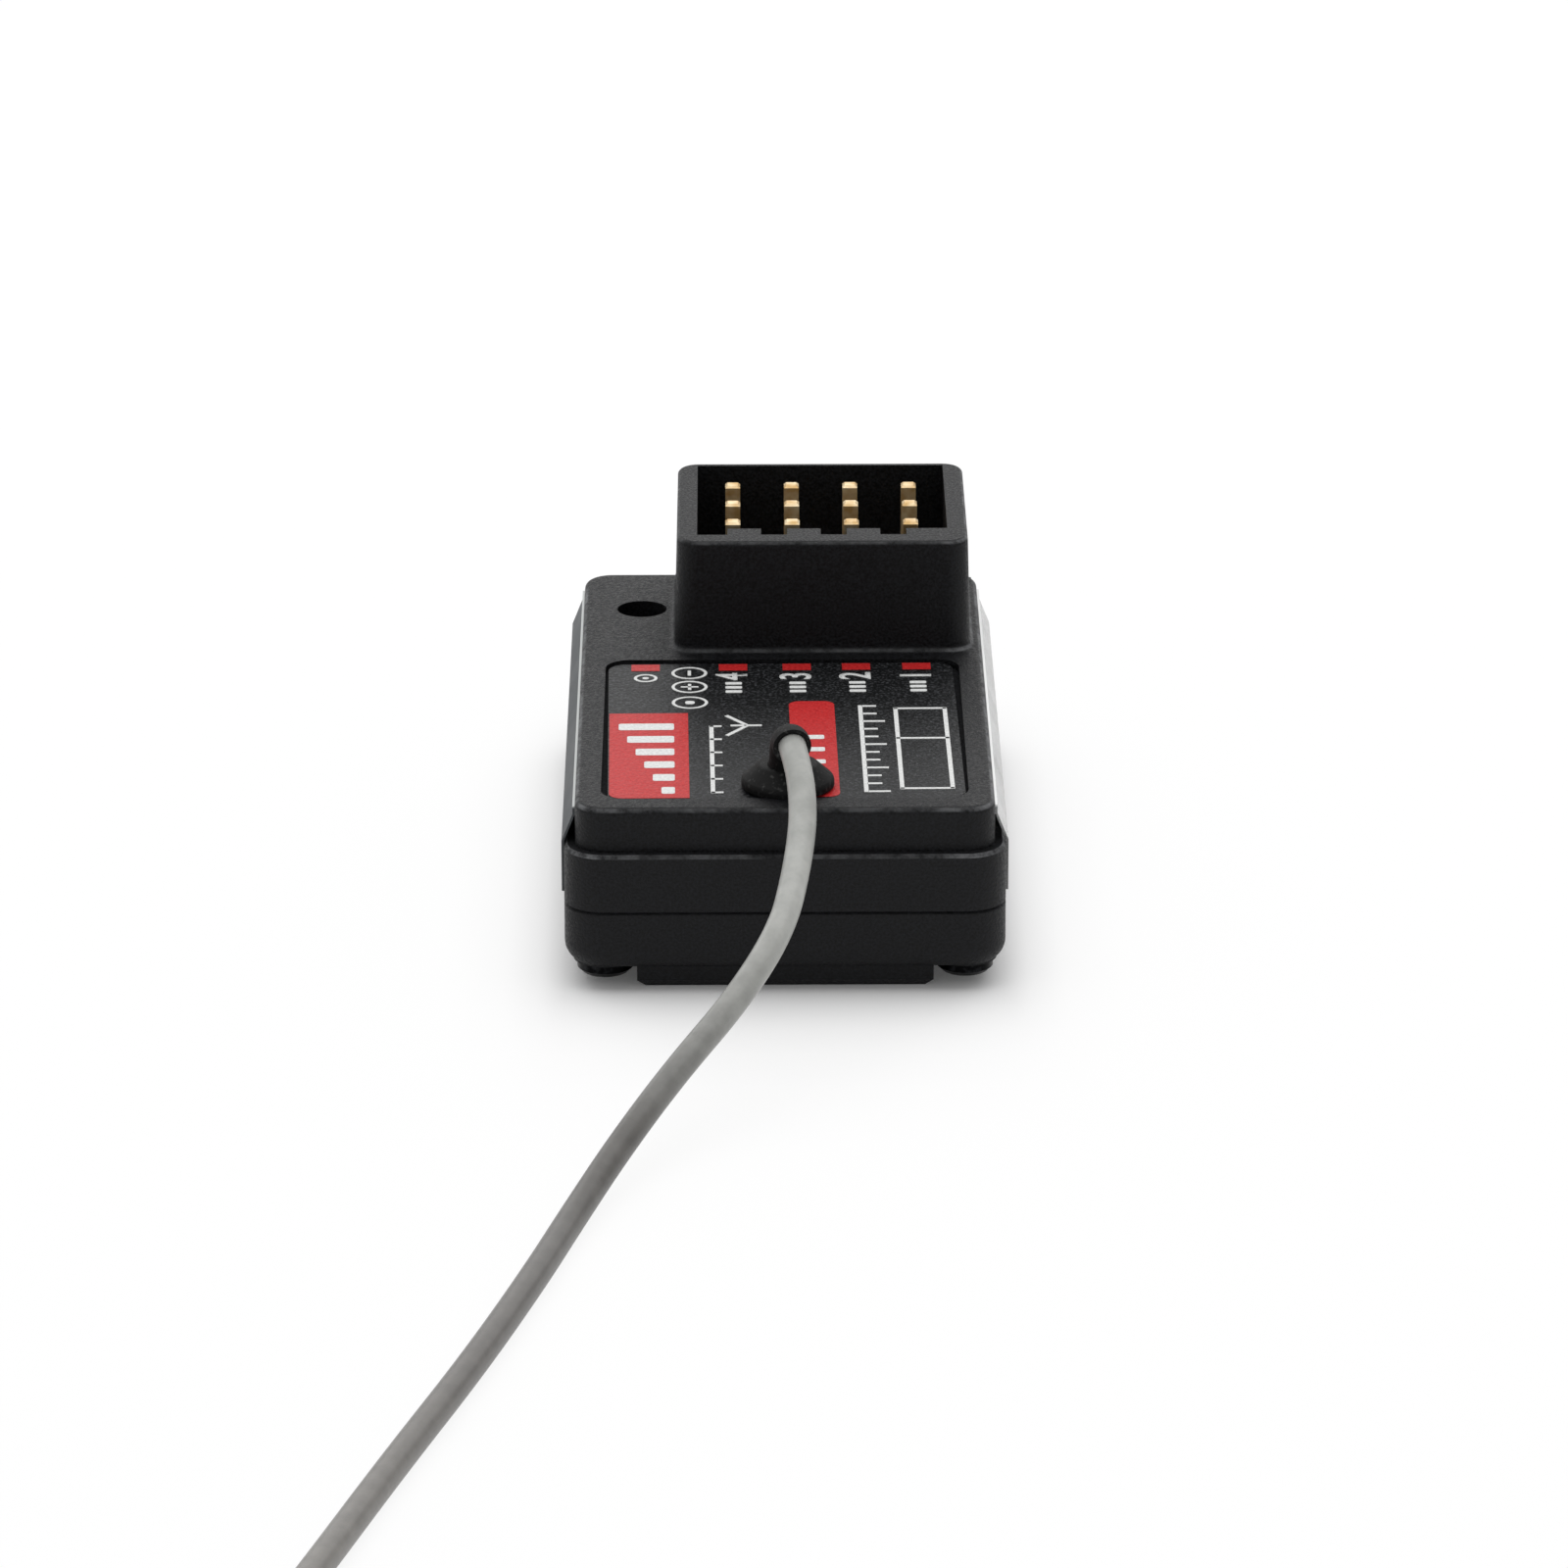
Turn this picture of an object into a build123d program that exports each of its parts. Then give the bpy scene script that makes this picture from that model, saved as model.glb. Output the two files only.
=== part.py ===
"""Four-channel radio-control receiver: a small two-part case with a servo socket block.

Millimetres, +Z up. The origin is at the bottom centre of the case footprint, on the
surface that the case stands on. +Y points to the socket end, -Y to the antenna end.
"""

from math import atan2, cos, degrees, pi, radians, sin, tan
import os

from build123d import *

# Case
case_width = 18.0
case_length = 31.0
case_corner_radius = 1.65
seam_height = 3.50
ledge_height = 6.01
deck_height = 7.87
step_in = 0.46
wall = 1.1
deck_thickness = 1.0
floor_thickness = 1.0
deck_edge_radius = 0.3
ledge_edge = 0.15
lower_edge_radius = 0.9
seam_chamfer = 0.08

# Underside pad, which carries the case
pad_height = 0.95
pad_width = 12.1
pad_end_gap = 0.7
pad_chamfer = 0.35

# Servo socket block and its pins
pin_pitch = 2.54
channel_count = 4
pin_rows = 3
pin_side = 0.64
pin_tail = 0.6
pin_tip = 0.1
pin_top_gap = 0.24
socket_offset = 1.73
socket_height = 4.9
socket_side_gap = 0.255
socket_end_gap = 0.575
socket_side_wall = 0.85
socket_front_wall = 1.15
socket_back_wall = 0.4
socket_draft = 1.5
socket_corner_radius = 0.9
socket_rim_radius = 0.22
socket_foot_radius = 0.28
key_depth = 0.82
tooth_start = -0.23
tooth_end = 1.20

# Header strips that hold the pins
strip_height = 2.5
strip_depth = 2.5
strip_notch = 0.3
pin_clearance = 0.02

# Circuit board and what carries it
board_thickness = 0.8
board_underside = 3.1
board_edge_gap = 0.2
board_corner_radius = 0.5
pin_hole_radius = 0.52
pin_hole_sides = 8
rib_width = 0.8
rib_reach = 0.7
rib_pitch = 7.0
post_radius = 0.55
post_side_gap = 0.69
post_screw_gap = 3.8

# Case screws at the antenna end
screw_side_gap = 1.65
screw_end_gap = 1.9
screw_radius = 0.7
screw_length = 5.0
screw_head_radius = 1.15
screw_head_height = 0.55
screw_head_edge = 0.2
screw_point = 0.42
screw_seat_radius = 1.3
screw_slot_width = 0.3
screw_slot_length = 1.2
screw_slot_depth = 0.28
boss_radius = 1.5
screw_clearance = 0.12
thread_clearance = 0.02

# Snap tongues at the socket end
tongue_end_gap = 4.0
tongue_width = 2.4
tongue_thickness = 0.5
tongue_rise = 1.2
tongue_gap = 0.05
nib_reach = 0.25
nib_height = 0.35

# Seal in the seam
seal_width = 0.36
seal_height = 0.5
seal_gap = 0.02

# Label recess and films
recess_depth = 0.3
recess_side_margin = 1.05
recess_front_margin = 1.25
recess_back_margin = 0.95
recess_corner_radius = 1.0
label_thickness = 0.2
label_gap = 0.2
label_turn = 0.6
film_thickness = 0.1
film_end_margin = 0.15
film_foot_gap = 0.35
film_lap = 0.35
film_top_gap = 0.35

# Status lamp
lamp_side_gap = 2.52
lamp_end_gap = 5.34
lamp_hole_radius = 1.07
lamp_width = 0.8
lamp_length = 1.6
lamp_height = 0.6
lamp_base_height = 0.2
lens_length = 1.05

# Antenna grommet
grommet_x = 0.13
grommet_end_gap = 2.94
grommet_hole_radius = 1.15
grommet_fit = 0.03
flange_radius = 1.9
flange_rise = 0.95
flange_edge_share = 0.3
flange_top_share = 0.62
flange_round_share = 0.25
inner_flange_radius = 1.65
inner_flange_height = 0.5
nipple_root_radius = 0.95
nipple_tip_radius = 0.78
nipple_root_height = 0.45
nipple_taper = 0.9
nipple_knee_share = 1 / 3
crook_setback = 0.9
crook_bend_share = 0.97
lead_clearance = 0.03

# Antenna cord
coax_diameter = 1.13
element_diameter = 0.68
element_length = 31.0
coil_diameter = 12.4
coil_turns = 1.29
tie_thickness = 0.2
tie_width = 1.6
tie_gap = 0.02
tie_angle = 236.0
tie_tail_length = 4.0
tie_tail_radius = 0.35

# Antenna connector inside the case
plug_gap = 4.75
plug_radius = 1.25
plug_height = 0.95
plug_wall = 0.15
plug_clearance = 0.02
crimp_length = 1.7
crimp_gap = 0.25
crimp_radius = 0.8
connector_base = 2.6
connector_base_height = 0.35
connector_ring_radius = 1.0
connector_ring_height = 0.75
connector_pin_radius = 0.2
lead_bend_radius = 1.35

# Parts on the circuit board
part_gap = 0.2
can_side_gap = 0.9
can_width = 7.4
can_length = 6.0
can_height = 1.7
can_wall = 0.2
radio_chip_side = 4.0
radio_chip_height = 0.85
radio_chip_edge = 0.1
processor_pin_gap = 0.8
processor_side = 5.0
processor_height = 1.2
processor_standoff = 0.1
processor_edge = 0.12
lead_count = 6
lead_pitch = 0.65
lead_width = 0.22
lead_root = 0.1
lead_shoulder = 0.25
lead_reach = 0.7
lead_thickness = 0.15
crystal_length = 3.2
crystal_width = 2.5
crystal_base_height = 0.4
crystal_height = 0.75
crystal_lid_margin = 0.15
crystal_edge = 0.1
regulator_length = 2.9
regulator_width = 1.6
regulator_height = 1.1
regulator_standoff = 0.05
regulator_draft = 6.0
regulator_leg_pitch = 0.95
regulator_leg_width = 0.4
regulator_leg_height = 0.3
regulator_leg_reach = 0.6
inductor_side = 3.0
inductor_height = 1.3
inductor_corner = 0.4
inductor_core_radius = 1.0
inductor_groove_radius = 1.25
inductor_groove_depth = 0.3
tantalum_length = 3.5
tantalum_width = 2.8
tantalum_height = 1.9
tantalum_edge = 0.15
terminal_thickness = 0.1
terminal_width = 2.0
terminal_height = 0.9
terminal_foot = 0.8
capacitor_size = (2.0, 1.25, 0.9)
resistor_size = (1.6, 0.8, 0.45)
chip_end_length = 0.35
chip_relief = 0.03
lens_edge = 0.1

# Sizes worked out from the values above
seam_half_width = case_width / 2
seam_half_length = case_length / 2
upper_half_width = seam_half_width - step_in
upper_half_length = seam_half_length - step_in
upper_corner_radius = case_corner_radius - step_in
inner_half_width = seam_half_width - wall
inner_half_length = seam_half_length - wall
inner_corner_radius = max(case_corner_radius - wall, 0.3)
upper_inner_width = upper_half_width - wall
upper_inner_length = upper_half_length - wall
deck_underside = deck_height - deck_thickness
recess_floor = deck_height - recess_depth
inside_floor = pad_height + floor_thickness
board_top = board_underside + board_thickness
strips_width = channel_count * pin_pitch
strips_length = pin_rows * pin_pitch
socket_top = deck_height + socket_height
pocket_half_width = strips_width / 2 + socket_side_gap
pocket_back = seam_half_length - socket_back_wall
socket_y = pocket_back - socket_end_gap - strips_length / 2
teeth_face = socket_y - strips_length / 2 - socket_end_gap
pocket_front = teeth_face - key_depth
draft_growth = socket_height * tan(radians(socket_draft))
socket_half_width = pocket_half_width + socket_side_wall + draft_growth
socket_front = pocket_front - socket_front_wall
screw_x = seam_half_width - screw_side_gap
screw_y = -seam_half_length + screw_end_gap
tongue_y = seam_half_length - tongue_end_gap
post_x = upper_inner_width - post_side_gap
front_post_y = screw_y + post_screw_gap
middle_post_y = (front_post_y + socket_front) / 2
lamp_x = -upper_half_width + lamp_side_gap
lamp_y = seam_half_length - lamp_end_gap
grommet_y = -upper_half_length + grommet_end_gap
plug_y = grommet_y + plug_gap
coax_radius = coax_diameter / 2
strip_y = [socket_y + (row - (pin_rows - 1) / 2) * pin_pitch for row in range(pin_rows)]
pin_x = [socket_offset + (n - (channel_count - 1) / 2) * pin_pitch for n in range(channel_count)]
film_top = deck_height - film_top_gap

# Places on the circuit board, worked out from what stands around them
strips_left = socket_offset - strips_width / 2
strips_front = strip_y[0] - strip_depth / 2
can_x = post_x - post_radius - can_side_gap - can_width / 2
can_y = plug_y + plug_radius + part_gap + can_length / 2
can_back = can_y + can_length / 2
processor_y = strip_y[0] - processor_pin_gap - processor_side / 2 - lead_reach
column_x = -(post_x - post_radius + can_width / 2 - can_x) / 2
column_parts = [
    resistor_size[1],
    capacitor_size[1],
    crystal_width,
    inductor_side,
    regulator_width + 2 * regulator_leg_reach,
    tantalum_width,
]
column_front = screw_y + boss_radius
column_gap = (lamp_y - lamp_width / 2 - column_front - sum(column_parts)) / (len(column_parts) + 1)
column_y = [
    column_front + (n + 1) * column_gap + sum(column_parts[:n]) + column_parts[n] / 2
    for n in range(len(column_parts))
]
crystal_centre = (column_x, column_y[2])
inductor_centre = (column_x, column_y[3])
regulator_centre = (column_x, column_y[4])
tantalum_centre = ((strips_left - upper_inner_width) / 2, column_y[5])
row_y = (can_back + strips_front) / 2
capacitor_places = [
    (column_x, column_y[1], 0),
    (can_x - can_width / 3, row_y, 0),
    (can_x + can_width / 3, row_y, 0),
    ((plug_radius + screw_x - boss_radius + grommet_x) / 2, plug_y - plug_radius, 0),
]
resistor_places = [
    (column_x, column_y[0], 0),
    (can_x, row_y, 0),
    ((plug_radius + screw_x - boss_radius + grommet_x) / 2, plug_y, 0),
]

# Route of the antenna cord from the grommet's mouth to its coil, chosen by hand:
# x and y from the middle of the grommet's hole, z from the surface
coax_points = [
    (0.17, -1.95, 10.18),
    (0.35, -3.25, 9.98),
    (0.53, -4.85, 9.48),
    (0.57, -6.90, 8.68),
    (0.25, -9.50, 7.50),
    (-0.33, -12.30, 6.20),
    (-2.08, -15.50, 4.52),
    (-4.53, -19.00, 2.86),
    (-6.63, -23.10, 1.46),
    (-8.33, -27.83, 0.565),
    (-9.75, -33.94, 0.565),
    (-11.83, -41.95, 0.565),
    (-14.33, -50.47, 0.565),
    (-16.98, -60.08, 0.565),
    (-19.53, -69.28, 0.765),
]
coax_route = [(grommet_x + x, grommet_y + y, z) for x, y, z in coax_points]


def block(size, centre, bottom):
    """A box of size x, y, z that stands on a height, with its plan centre at a point."""
    return Pos(centre[0], centre[1], bottom) * Box(*size, align=(Align.CENTER, Align.CENTER, Align.MIN))


def rod(radius, height, centre, bottom):
    """An upright cylinder that stands on a height."""
    return Pos(centre[0], centre[1], bottom) * Cylinder(
        radius, height, align=(Align.CENTER, Align.CENTER, Align.MIN)
    )


def slab(half_width, half_length, radius, bottom, top):
    """An upright prism with rounded plan corners, centred on the case."""
    outline = Pos(0, 0, bottom) * RectangleRounded(2 * half_width, 2 * half_length, radius)
    return extrude(outline, amount=top - bottom)


def edges_at(solid, height, tolerance=0.001):
    """The edges of a solid that lie flat at one height."""
    return [
        edge
        for edge in solid.edges()
        if abs(edge.bounding_box().min.Z - height) < tolerance
        and abs(edge.bounding_box().max.Z - height) < tolerance
    ]


def mirrored(solid):
    """A solid with its mirror image on the other side of the case."""
    return solid + mirror(solid, about=Plane.YZ)


def swept_tube(points, radii, radius):
    """A round tube along straight runs joined by tangent arcs."""
    path = FilletPolyline(*points, radius=radii)
    start = Plane(origin=path @ 0, z_dir=path % 0)
    return sweep(start * Circle(radius), path=path), path


def arc_radii(points):
    """The largest arc that the two runs beside each corner allow."""
    radii = []
    for before, corner, after in zip(points, points[1:], points[2:]):
        run_in = Vector(*corner) - Vector(*before)
        run_out = Vector(*after) - Vector(*corner)
        turn = radians(run_in.get_angle(run_out))
        radii.append(0.45 * min(run_in.length, run_out.length) / tan(turn / 2))
    return radii


def socket_outer():
    """The drafted socket block, from the deck up, with its back flush with the case."""
    spare = 3 * draft_growth + socket_corner_radius
    length = seam_half_length + spare - socket_front
    centre_y = (socket_front + seam_half_length + spare) / 2
    base = Pos(socket_offset, centre_y, deck_height) * Rectangle(2 * socket_half_width, length)
    body = extrude(base, amount=socket_height, taper=socket_draft)
    trim_size = (4 * socket_half_width, 2 * spare, 3 * socket_height)
    trim = block(trim_size, (socket_offset, seam_half_length + spare), deck_height - socket_height)
    body = body - trim
    upright = [edge for edge in body.edges() if abs((edge % 0.5).Z) > 0.9]
    body = fillet(upright, socket_corner_radius)
    body = fillet(edges_at(body, socket_top), socket_rim_radius)
    footprint = body.faces().sort_by(Axis.Z)[0]
    return body + extrude(footprint, amount=deck_height - ledge_height, dir=(0, 0, -1))


def socket_foot():
    """The small fillet round the foot of the socket block, where it meets the deck."""
    reach = 2 * case_length
    base = Pos(socket_offset, socket_front + reach / 2, deck_height) * Rectangle(2 * socket_half_width, reach)
    tower = extrude(base, amount=socket_height, taper=socket_draft)
    front_corners = [
        edge
        for edge in tower.edges()
        if abs((edge % 0.5).Z) > 0.9 and edge.center().Y < socket_front + 1
    ]
    tower = fillet(front_corners, socket_corner_radius)
    ground = block((2 * case_width, 2 * reach, deck_thickness), (socket_offset, socket_front), deck_height)
    stand = tower + Pos(0, 0, -deck_thickness) * ground
    foot = [
        edge
        for edge in edges_at(stand, deck_height)
        if abs(edge.center().X - socket_offset) < socket_half_width + 0.01
        and edge.center().Y < socket_front + reach - 0.5
    ]
    stand = fillet(foot, socket_foot_radius)
    back = seam_half_length - socket_corner_radius - socket_foot_radius
    keep = block(
        (3 * socket_half_width, back - socket_front + 2, 2 * socket_foot_radius),
        (socket_offset, (back + socket_front - 2) / 2),
        deck_height,
    )
    return stand & keep


def pocket_space():
    """The open space inside the socket block, down to the circuit board."""
    pocket_size = (2 * pocket_half_width, pocket_back - pocket_front, socket_top - board_top + 1)
    centre_y = (pocket_back + pocket_front) / 2
    return block(pocket_size, (socket_offset, centre_y), board_top)


def key_teeth():
    """The teeth on the pocket's front wall that key each channel's plug."""
    teeth = []
    for number, x in enumerate(pin_x):
        last = number == channel_count - 1
        right = socket_offset + pocket_half_width if last else x + tooth_end
        left = x + tooth_start
        size = (right - left, key_depth, socket_top - deck_underside)
        teeth.append(block(size, ((left + right) / 2, teeth_face - key_depth / 2), deck_underside))
    return teeth


def label_recess():
    """The shallow recess in the deck that takes the printed label."""
    front = -upper_half_length + recess_front_margin
    back = socket_front - recess_back_margin
    width = 2 * (upper_half_width - recess_side_margin)
    return front, back, width


def top_shell():
    """Upper case half: band, stepped deck, socket block, recess, holes, posts and bosses."""
    band = slab(seam_half_width, seam_half_length, case_corner_radius, seam_height, ledge_height)
    band = chamfer(edges_at(band, ledge_height), ledge_edge)
    band = chamfer(edges_at(band, seam_height), seam_chamfer)
    root_height = ledge_height - ledge_edge
    upper = slab(upper_half_width, upper_half_length, upper_corner_radius, root_height, deck_height)
    upper = fillet(edges_at(upper, deck_height), deck_edge_radius)
    shell = band + upper + socket_outer()
    shell = shell + socket_foot()

    front, back, width = label_recess()
    recess = Pos(0, (front + back) / 2, recess_floor) * RectangleRounded(
        width, back - front, recess_corner_radius
    )
    shell = shell - extrude(recess, amount=2 * recess_depth)

    lower_top = ledge_height - wall
    cavity = slab(inner_half_width, inner_half_length, inner_corner_radius, seam_height, lower_top)
    cavity = cavity + slab(
        upper_inner_width, upper_inner_length, inner_corner_radius, seam_height, deck_underside
    )
    boss_height = deck_underside - seam_height
    bosses = mirrored(rod(boss_radius, boss_height, (screw_x, screw_y), seam_height))
    post_height = deck_underside - board_top
    posts = rod(post_radius, post_height, (post_x, front_post_y), board_top)
    posts = mirrored(posts + rod(post_radius, post_height, (post_x, middle_post_y), board_top))
    shell = shell - (cavity - bosses - posts)

    shell = shell - pocket_space()
    for tooth in key_teeth():
        shell = shell + tooth

    thread_radius = screw_radius + thread_clearance
    thread = rod(thread_radius, screw_length - floor_thickness - 1, (screw_x, screw_y), seam_height)
    shell = shell - mirrored(thread)
    shell = shell - rod(lamp_hole_radius, 2 * deck_thickness, (lamp_x, lamp_y), deck_underside - 0.5)
    hole = rod(grommet_hole_radius, 2 * deck_thickness, (grommet_x, grommet_y), deck_underside - 0.5)
    shell = shell - hole

    catch_depth = nib_reach + 2 * tongue_gap
    catch_size = (2 * catch_depth, tongue_width + 4 * tongue_gap, nib_height + 4 * tongue_gap)
    catch_bottom = seam_height + tongue_rise - nib_height - 3 * tongue_gap
    catches = mirrored(block(catch_size, (inner_half_width, tongue_y), catch_bottom))
    return shell - catches


def bottom_shell():
    """Lower case half: tray with the resting pad, screw seats, board ribs and tongues."""
    tray = slab(seam_half_width, seam_half_length, case_corner_radius, pad_height, seam_height)
    tray = fillet(edges_at(tray, pad_height), lower_edge_radius)
    tray = chamfer(edges_at(tray, seam_height), seam_chamfer)
    pad_size = (pad_width, case_length - 2 * pad_end_gap, pad_height + floor_thickness / 2)
    pad = chamfer(edges_at(block(pad_size, (0, 0), 0), 0), pad_chamfer)
    head_space = rod(screw_head_radius + screw_clearance, pad_height, (screw_x, screw_y), 0)
    seat = rod(screw_seat_radius, floor_thickness, (screw_x, screw_y), pad_height)
    shell = tray + (pad - mirrored(head_space)) + mirrored(seat)

    tray_depth = seam_height - inside_floor
    well_size = (pad_width - 2 * wall, case_length - 2 * pad_end_gap - 2 * wall, tray_depth + pad_height)
    well = block(well_size, (0, 0), inside_floor - pad_height)
    cavity = slab(inner_half_width, inner_half_length, inner_corner_radius, inside_floor, seam_height)
    boss = rod(boss_radius, tray_depth, (screw_x, screw_y), inside_floor)
    seat_boss = rod(boss_radius, tray_depth + pad_height, (screw_x, screw_y), inside_floor - pad_height)
    shell = shell - (cavity - mirrored(boss)) - (well - mirrored(seat_boss))

    rib_size = (rib_reach, rib_width, board_underside - inside_floor)
    for place in (-1, 0, 1):
        rib_centre = (inner_half_width - rib_reach / 2, place * rib_pitch)
        shell = shell + mirrored(block(rib_size, rib_centre, inside_floor))

    tongue_top = seam_height + tongue_rise
    tongue_x = inner_half_width - tongue_gap - tongue_thickness / 2
    tongue_size = (tongue_thickness, tongue_width, tongue_top - inside_floor)
    root_size = (tongue_thickness, tongue_width, tray_depth)
    root_x = inner_half_width - tongue_thickness / 2
    nib_profile = make_face(
        Polyline(
            (inner_half_width - tongue_gap, tongue_top),
            (inner_half_width - tongue_gap + nib_reach, tongue_top - nib_height),
            (inner_half_width - tongue_gap, tongue_top - nib_height),
            close=True,
        )
    )
    nib = extrude(Plane.XZ * nib_profile, amount=tongue_width / 2, both=True)
    tongue = block(tongue_size, (tongue_x, tongue_y), inside_floor)
    tongue = tongue + block(root_size, (root_x, tongue_y), inside_floor) + Pos(0, tongue_y, 0) * nib
    shell = shell + mirrored(tongue)

    hole = rod(screw_radius + screw_clearance, seam_height, (screw_x, screw_y), 0)
    groove = seal_ring(seal_width / 2 + seal_gap, seam_height - seal_height - seal_gap, seam_height)
    return shell - mirrored(hole) - groove


def seal_ring(half_width, bottom, top):
    """A ring that runs round the middle of the case wall."""
    middle = wall / 2
    outer_x = seam_half_width - middle + half_width
    outer_y = seam_half_length - middle + half_width
    outer = slab(outer_x, outer_y, case_corner_radius - middle + half_width, bottom, top)
    inner_radius = case_corner_radius - middle - half_width
    inner = slab(outer_x - 2 * half_width, outer_y - 2 * half_width, inner_radius, bottom, top)
    return outer - inner


def case_seal():
    """Silicone cord seal that lies in the groove of the lower shell."""
    return seal_ring(seal_width / 2, seam_height - seal_height, seam_height)


def case_screw():
    """One pan-head self-tapping screw, driven up from below."""
    head_bottom = pad_height - screw_head_height
    head = rod(screw_head_radius, screw_head_height, (0, 0), head_bottom)
    head = chamfer(edges_at(head, head_bottom), screw_head_edge)
    for angle in (0, 90):
        slot_size = (screw_slot_length, screw_slot_width, screw_slot_depth)
        head = head - Rot(0, 0, angle) * block(slot_size, (0, 0), head_bottom)
    shank = rod(screw_radius, screw_length - screw_point, (0, 0), pad_height)
    point_height = pad_height + screw_length - screw_point / 2
    return head + shank + Pos(0, 0, point_height) * Cone(screw_radius, screw_radius / 3, screw_point)


def case_screws():
    """The screws that pull the lower shell to the upper one, as separate solids."""
    screw = case_screw()
    return [Pos(side * screw_x, screw_y, 0) * screw for side in (-1, 1)]


def circuit_board():
    """Board with corner notches for the bosses, tongue notches and pin holes."""
    half_width = inner_half_width - board_edge_gap
    half_length = inner_half_length - board_edge_gap
    board = slab(half_width, half_length, board_corner_radius, board_underside, board_top)
    below = board_underside - board_thickness
    notch_x = inner_half_width - screw_x + boss_radius + board_edge_gap
    notch_y = inner_half_length + screw_y + boss_radius + board_edge_gap
    notch_size = (2 * notch_x, 2 * notch_y, 3 * board_thickness)
    board = board - mirrored(block(notch_size, (inner_half_width, -inner_half_length), below))
    slot_depth = tongue_thickness + tongue_gap + board_edge_gap
    slot_size = (2 * slot_depth, tongue_width + 2 * board_edge_gap, 3 * board_thickness)
    board = board - mirrored(block(slot_size, (inner_half_width, tongue_y), below))
    for x in pin_x:
        for y in strip_y:
            hole = Pos(x, y, below) * RegularPolygon(pin_hole_radius, pin_hole_sides)
            board = board - extrude(hole, amount=3 * board_thickness)
    return board


def header_strip(y):
    """One moulded strip that holds a row of pins, notched between the channels."""
    strip = block((strips_width, strip_depth, strip_height), (socket_offset, y), board_top)
    for number in range(channel_count + 1):
        x = socket_offset + (number - channel_count / 2) * pin_pitch
        notch = Rot(0, 0, 45) * Box(strip_notch, strip_notch, 3 * strip_height)
        for side in (-1, 1):
            strip = strip - Pos(x, y + side * strip_depth / 2, board_top) * notch
    hole = pin_side + 2 * pin_clearance
    for x in pin_x:
        strip = strip - block((hole, hole, 2 * strip_height), (x, y), board_top - 0.5)
    return strip


def pin_row(y):
    """The square pins of one row, with tapered ends, as separate solids."""
    bottom = board_underside - pin_tail
    top = socket_top - pin_top_gap
    pin = block((pin_side, pin_side, top - bottom), (0, 0), bottom)
    ends = edges_at(pin, bottom) + edges_at(pin, top)
    pin = chamfer(ends, pin_tip)
    return [Pos(x, y, 0) * pin for x in pin_x]


def top_label():
    """Printed label in the deck's recess, with a hole for the grommet's neck."""
    front, back, width = label_recess()
    outline = Rot(0, 0, label_turn) * RectangleRounded(
        width - 2 * label_gap, back - front - 2 * label_gap, recess_corner_radius - label_gap
    )
    label = extrude(Pos(0, (front + back) / 2, recess_floor) * outline, amount=label_thickness)
    return label - rod(grommet_hole_radius, 1, (grommet_x, grommet_y), recess_floor - 0.5)


def side_film(side):
    """Thin film on the side wall, which bridges the step between band and deck."""
    foot = seam_height + film_foot_gap
    lap = film_top - film_lap
    inner = [
        (seam_half_width, foot),
        (seam_half_width, ledge_height),
        (upper_half_width, lap),
        (upper_half_width, film_top),
    ]
    outer = [(x + film_thickness, z) for x, z in reversed(inner)]
    profile = make_face(Polyline(*inner, *outer, close=True))
    half_length = upper_half_length - upper_corner_radius - film_end_margin
    film = extrude(Plane.XZ * profile, amount=half_length, both=True)
    return film if side > 0 else mirror(film, about=Plane.YZ)


def lead_exit():
    """The middle of the grommet's mouth and the unit vector that the cord leaves along."""
    mouth = Vector(*coax_route[0])
    return mouth, (Vector(*coax_route[1]) - mouth).normalized()


def inner_lead_points():
    """Route of the antenna lead inside the case, from its plug to the grommet's mouth."""
    mouth, along = lead_exit()
    crook = mouth - along * crook_setback
    level = board_top + connector_base_height + connector_ring_height + plug_wall / 2
    start = (grommet_x, plug_y - plug_radius - crimp_length, level)
    drop = (grommet_x, grommet_y, level)
    knee = (grommet_x, grommet_y, deck_height + nipple_knee_share * flange_rise)
    return [start, drop, knee, tuple(crook), tuple(mouth)]


def crook_arc():
    """Radius of the bend at the nipple's crook, and how far before the crook it starts."""
    knee, crook, mouth = [Vector(*point) for point in inner_lead_points()[2:]]
    turn = radians((crook - knee).get_angle(mouth - crook))
    tangent = crook_bend_share * crook_setback
    return tangent / tan(turn / 2), tangent


def lead_tube(radius):
    """The lead's tube at a radius, for the lead, for the bore that it runs in or for the nipple."""
    bends = [lead_bend_radius, lead_bend_radius, crook_arc()[0]]
    return swept_tube(inner_lead_points(), bends, radius)[0]


def coax_inner_lead():
    """The antenna lead inside the case and through the grommet."""
    return lead_tube(coax_radius)


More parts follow.
